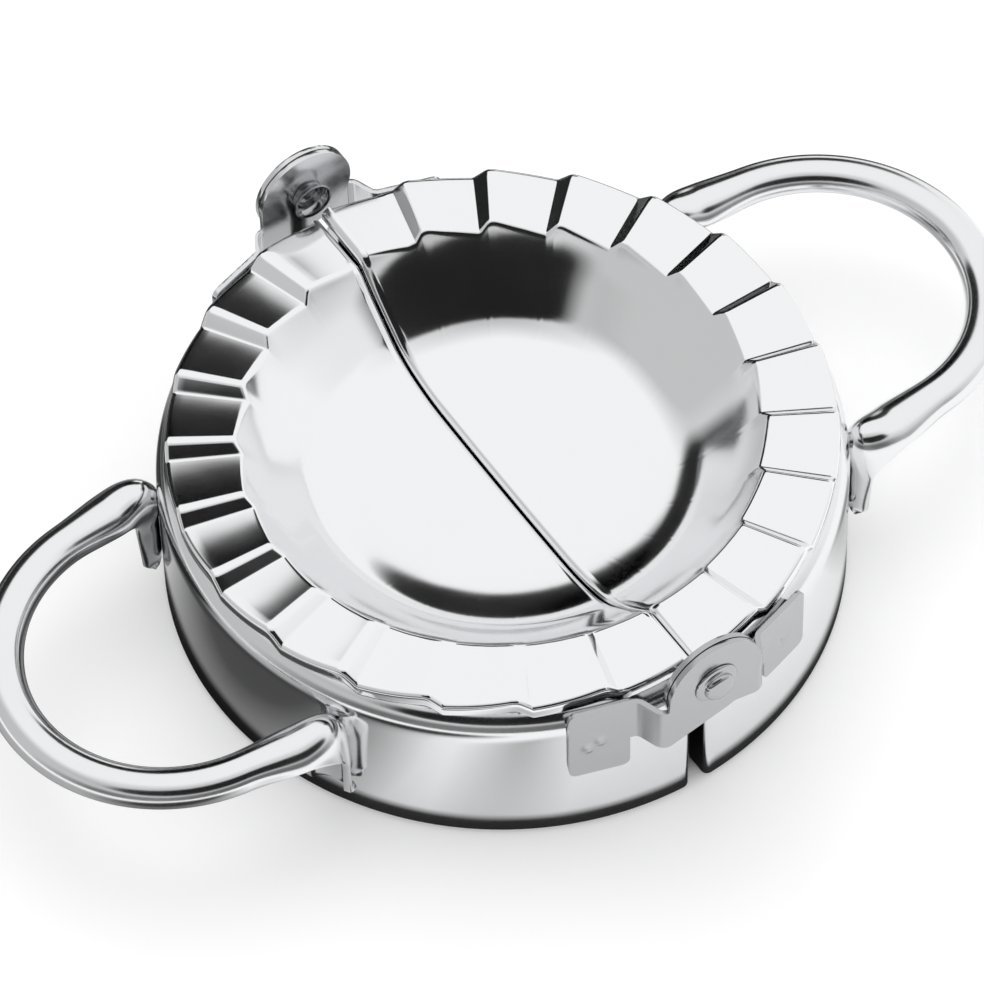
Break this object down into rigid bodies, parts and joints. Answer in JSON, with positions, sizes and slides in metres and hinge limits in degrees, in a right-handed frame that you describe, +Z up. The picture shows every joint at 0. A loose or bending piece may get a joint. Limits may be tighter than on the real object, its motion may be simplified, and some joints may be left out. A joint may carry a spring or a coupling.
{
  "type": "empanada press",
  "caption": "Hinged sheet-steel mould with pleated rims, round cutting skirts and loop handles that folds over to cut and crimp a filled round of dough.",
  "frame": {"origin": "middle of the foot plane, between the two cutting skirts of the open press", "axes": "+Z up, hinge axis along Y over the origin, +X towards the right half's handle"},
  "size_m": [0.1638, 0.1096, 0.0367],
  "materials": {
    "steel": "mirror polished stainless sheet",
    "rivet_steel": "bright stainless rivet"
  },
  "bodies": {
    "left_half": {"mould_left": "steel", "skirt_left": "steel", "handle_left": "steel", "bracket_left_near": "steel", "bracket_left_far": "steel", "rivet_near": "rivet_steel", "rivet_far": "rivet_steel"},
    "right_half": {"mould_right": "steel", "skirt_right": "steel", "handle_right": "steel", "bracket_right_near": "steel", "bracket_right_far": "steel"}
  },
  "joints": [
    {"name": "fold_hinge", "type": "hinge", "parent": "left_half", "child": "right_half", "pos_m": [0, 0, 0.0292], "axis": [0, -1, 0], "range_deg": [0, 180]}
  ]
}
